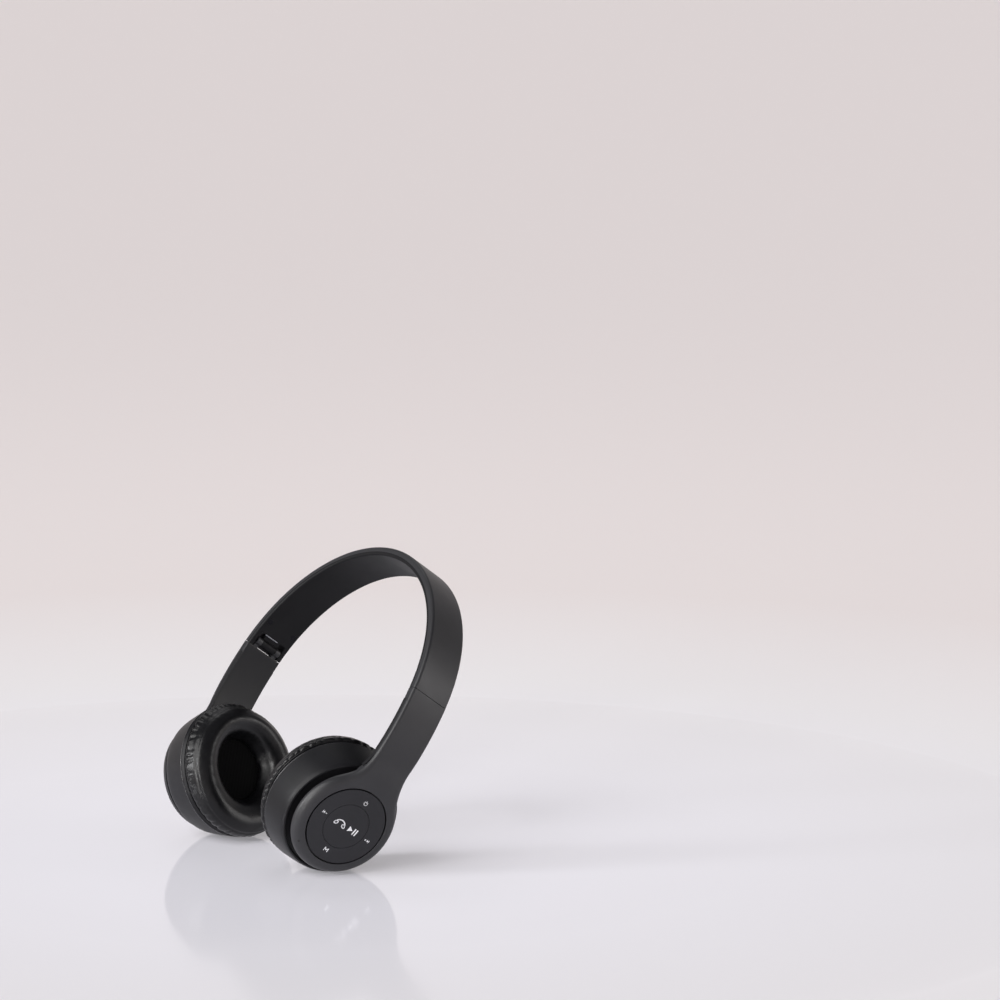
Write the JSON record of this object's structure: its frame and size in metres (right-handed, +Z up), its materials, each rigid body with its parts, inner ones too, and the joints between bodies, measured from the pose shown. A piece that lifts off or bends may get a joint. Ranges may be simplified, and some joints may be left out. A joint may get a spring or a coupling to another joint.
{
  "type": "folding wireless headphones",
  "caption": "Folding wireless headphones with a sprung band, sliding folding arms, tilting round ear cups and a round control plate.",
  "frame": {"origin": "middle of the footprint, on the floor: centre of the bounding box's bottom", "axes": "+X from the middle towards the cup with the control plate, +Z up, and the band leans back 35.5 degrees towards +Y as the headphones are set down on the rims of both cups. Turn the part 35.5 degrees about +X to stand the band upright."},
  "size_m": [0.1652, 0.1235, 0.1523],
  "materials": {
    "shell": "satin soft touch black",
    "cover": "fine texture black",
    "control": "smooth satin black",
    "housing": "satin black",
    "leather": "smooth black leatherette, wrinkled sides",
    "foam": "open cell foam",
    "scrim": "fine black cloth",
    "steel": "plain steel",
    "screw": "blackened screws",
    "wire": "flat flexible cable",
    "board": "printed board",
    "port": "stamped port shell",
    "frame": "moulded nylon",
    "cone": "thin film",
    "light": "clear light pipe",
    "cell": "pouch foil"
  },
  "bodies": {
    "headband": {"band_outer_shell": "shell", "band_inner_cover": "cover", "spring_strip": "steel", "band_wires": "wire", "band_screws": "screw"},
    "slider_right": {"slider_bar_right": "steel", "hinge_block_right": "cover", "hinge_pin_right": "steel"},
    "arm_right": {"arm_shell_right": "shell", "arm_cover_right": "cover", "disc_back_right": "cover", "arm_screws_right": "screw", "keypad_base": "board", "tact_switches": "port", "microphone": "cover"},
    "swivel_right": {"swivel_ring_right": "frame"},
    "cup_right": {"cup_housing_right": "housing", "baffle_right": "cover", "baffle_screws_right": "screw", "driver_frame_right": "frame", "driver_magnet_right": "steel", "driver_diaphragm_right": "cone", "ear_scrim_right": "scrim", "cushion_ring_right": "cover", "cushion_foam_right": "foam", "cushion_cover_right": "leather", "main_board": "board", "usb_port": "port", "aux_jack": "cover", "card_slot": "port", "status_light": "light"},
    "slider_left": {"slider_bar_left": "steel", "hinge_block_left": "cover", "hinge_pin_left": "steel"},
    "arm_left": {"arm_shell_left": "shell", "arm_cover_left": "cover", "disc_back_left": "cover", "arm_screws_left": "screw", "cap_plate_left": "control"},
    "swivel_left": {"swivel_ring_left": "frame"},
    "cup_left": {"cup_housing_left": "housing", "baffle_left": "cover", "baffle_screws_left": "screw", "driver_frame_left": "frame", "driver_magnet_left": "steel", "driver_diaphragm_left": "cone", "ear_scrim_left": "scrim", "cushion_ring_left": "cover", "cushion_foam_left": "foam", "cushion_cover_left": "leather", "battery": "cell"},
    "rocker": {"rocker_frame": "frame"},
    "control_ring": {"control_ring": "control"},
    "centre_button": {"centre_button": "control"}
  },
  "joints": [
    {"name": "slide_out_right", "type": "hinge", "parent": "headband", "child": "slider_right", "pos_m": [0, 0.00508, 0.07926], "axis": [0, 0.8141, -0.5807], "range_deg": [0, 10.8]},
    {"name": "fold_right", "type": "hinge", "parent": "slider_right", "child": "arm_right", "pos_m": [0.07659, 0.01384, 0.09155], "axis": [0, 0.8141, -0.5807], "range_deg": [0, 85]},
    {"name": "turn_right", "type": "hinge", "parent": "arm_right", "child": "swivel_right", "pos_m": [0.05973, -0.02978, 0.03039], "axis": [0.3584, 0.5421, 0.76], "range_deg": [-5, 5]},
    {"name": "tilt_right", "type": "hinge", "parent": "swivel_right", "child": "cup_right", "pos_m": [0.05973, -0.02978, 0.03039], "axis": [0, 0.8141, -0.5807], "range_deg": [-5, 5]},
    {"name": "slide_out_left", "type": "hinge", "parent": "headband", "child": "slider_left", "pos_m": [0, 0.00508, 0.07926], "axis": [0, -0.8141, 0.5807], "range_deg": [0, 10.8]},
    {"name": "fold_left", "type": "hinge", "parent": "slider_left", "child": "arm_left", "pos_m": [-0.07659, 0.01384, 0.09155], "axis": [0, 0.8141, -0.5807], "range_deg": [-85, 0]},
    {"name": "turn_left", "type": "hinge", "parent": "arm_left", "child": "swivel_left", "pos_m": [-0.05973, -0.02978, 0.03039], "axis": [-0.3584, 0.5421, 0.76], "range_deg": [-5, 5]},
    {"name": "tilt_left", "type": "hinge", "parent": "swivel_left", "child": "cup_left", "pos_m": [-0.05973, -0.02978, 0.03039], "axis": [0, 0.8141, -0.5807], "range_deg": [-5, 5]},
    {"name": "rock_up_down", "type": "hinge", "parent": "arm_right", "child": "rocker", "pos_m": [0.06874, -0.03179, 0.02758], "axis": [0, 0.8141, -0.5807], "range_deg": [-1.2, 1.2], "stiffness_Nm_per_rad": 0.1},
    {"name": "rock_side_to_side", "type": "hinge", "parent": "rocker", "child": "control_ring", "pos_m": [0.06874, -0.03179, 0.02758], "axis": [0.3584, 0.5421, 0.76], "range_deg": [-1.2, 1.2], "stiffness_Nm_per_rad": 0.1},
    {"name": "press_centre", "type": "slide", "parent": "arm_right", "child": "centre_button", "axis": [-0.9336, 0.2081, 0.2918], "range_m": [0, 0.00035], "stiffness_N_per_m": 300}
  ]
}
